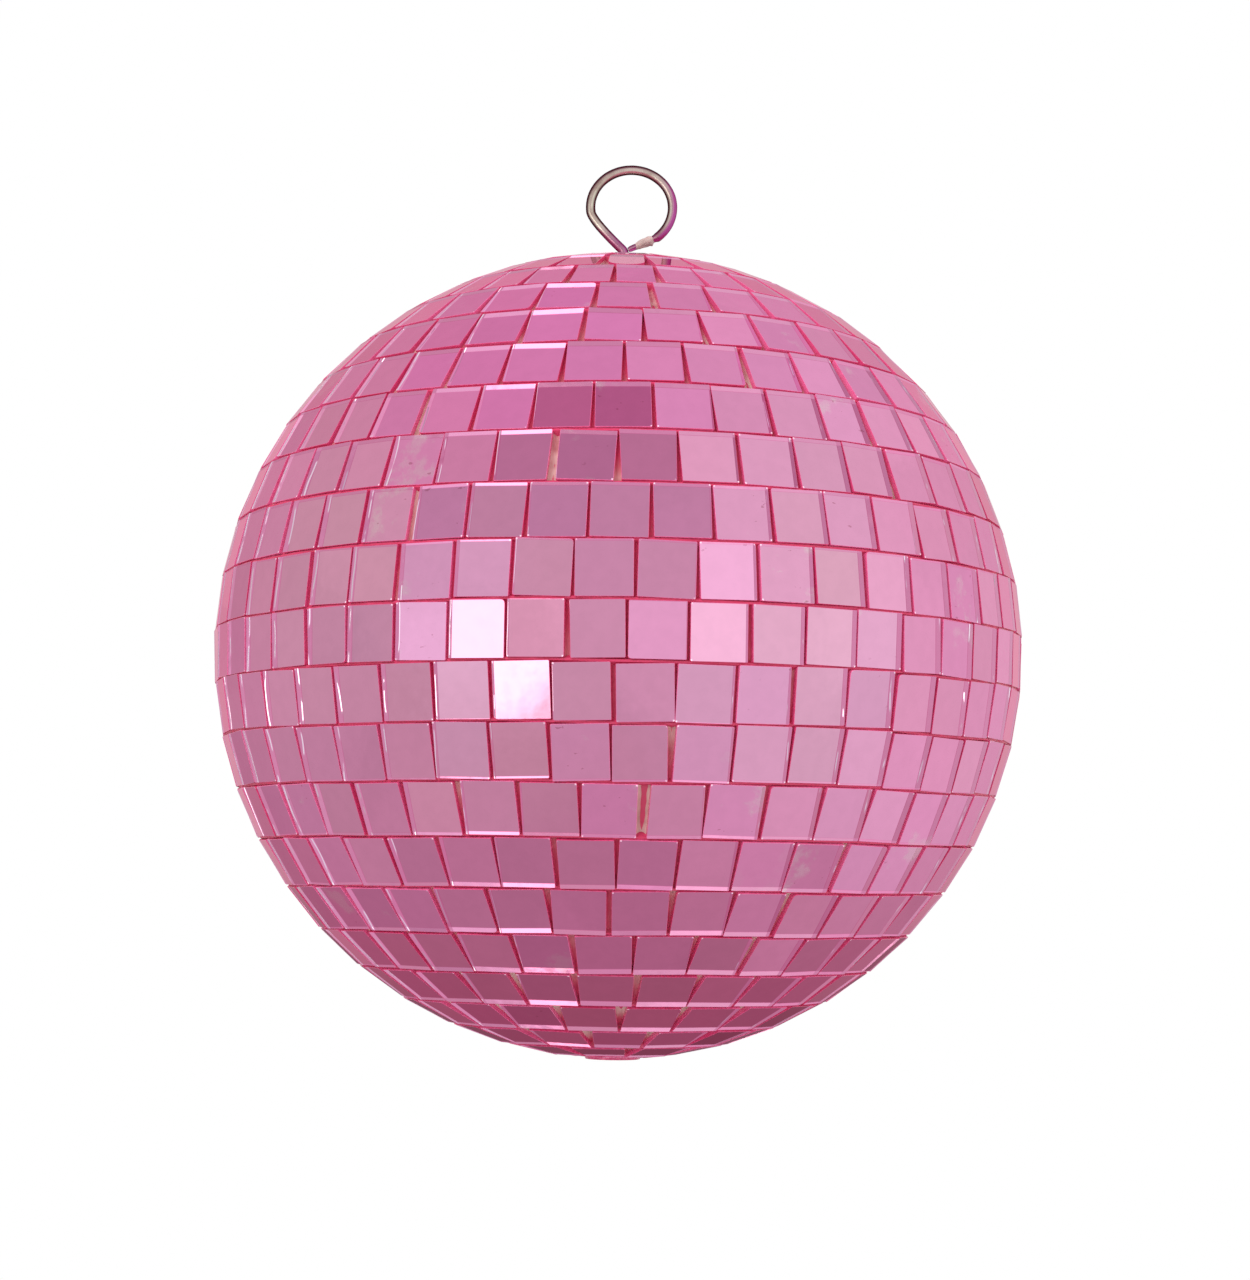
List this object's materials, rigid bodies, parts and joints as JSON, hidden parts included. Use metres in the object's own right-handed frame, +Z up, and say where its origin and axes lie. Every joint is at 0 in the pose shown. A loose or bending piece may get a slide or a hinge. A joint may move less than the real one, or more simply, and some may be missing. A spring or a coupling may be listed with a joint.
{
  "type": "mirror ball",
  "caption": "Pink mirror ball: a hollow core covered with rows of flat square mirror tiles, hung by a swivelling wire loop at its top.",
  "frame": {"origin": "centre of the ball", "axes": "+Z up along the axis the ball hangs and spins on; the loop's eye faces -Y; +X to the right seen from the front"},
  "size_m": [0.1498, 0.1498, 0.1684],
  "materials": {
    "mirror_tile": "pink back-silvered glass tile, polished, ground edges",
    "core_plastic": "matt beige shell with a film of glue",
    "bush_plastic": "off-white moulded plastic",
    "zinc_steel": "zinc-plated steel",
    "washer_nylon": "natural nylon",
    "ferrule_aluminium": "crimped aluminium",
    "wire_steel": "bright nickel-plated wire, drawn, lightly scuffed",
    "glue": "cloudy set glue"
  },
  "bodies": {
    "loop": {"hanging_loop": "wire_steel", "loop_bead": "glue", "stop_ferrule": "ferrule_aluminium"},
    "washer": {"swivel_washer": "washer_nylon"},
    "ball": {"tile_row_01": "mirror_tile", "tile_row_02": "mirror_tile", "tile_row_03": "mirror_tile", "tile_row_04": "mirror_tile", "tile_row_05": "mirror_tile", "tile_row_06": "mirror_tile", "tile_row_07": "mirror_tile", "tile_row_08": "mirror_tile", "tile_row_09": "mirror_tile", "tile_row_10": "mirror_tile", "tile_row_11": "mirror_tile", "tile_row_12": "mirror_tile", "tile_row_13": "mirror_tile", "tile_row_14": "mirror_tile", "tile_row_15": "mirror_tile", "tile_row_16": "mirror_tile", "tile_row_17": "mirror_tile", "tile_row_18": "mirror_tile", "tile_row_19": "mirror_tile", "tile_row_20": "mirror_tile", "tile_row_21": "mirror_tile", "tile_row_22": "mirror_tile", "tile_row_23": "mirror_tile", "bottom_disc": "mirror_tile", "core_upper": "core_plastic", "core_lower": "core_plastic", "hanger_bush": "bush_plastic", "bush_nut": "bush_plastic", "spreader_plate": "zinc_steel"}
  },
  "joints": [
    {"name": "ball_spin", "type": "hinge", "parent": "loop", "child": "washer", "pos_m": [0, 0, 0], "axis": [0, 0, 1], "continuous": true},
    {"name": "ball_lift", "type": "slide", "parent": "washer", "child": "ball", "axis": [0, 0, 1], "range_m": [0, 0.0008]}
  ]
}
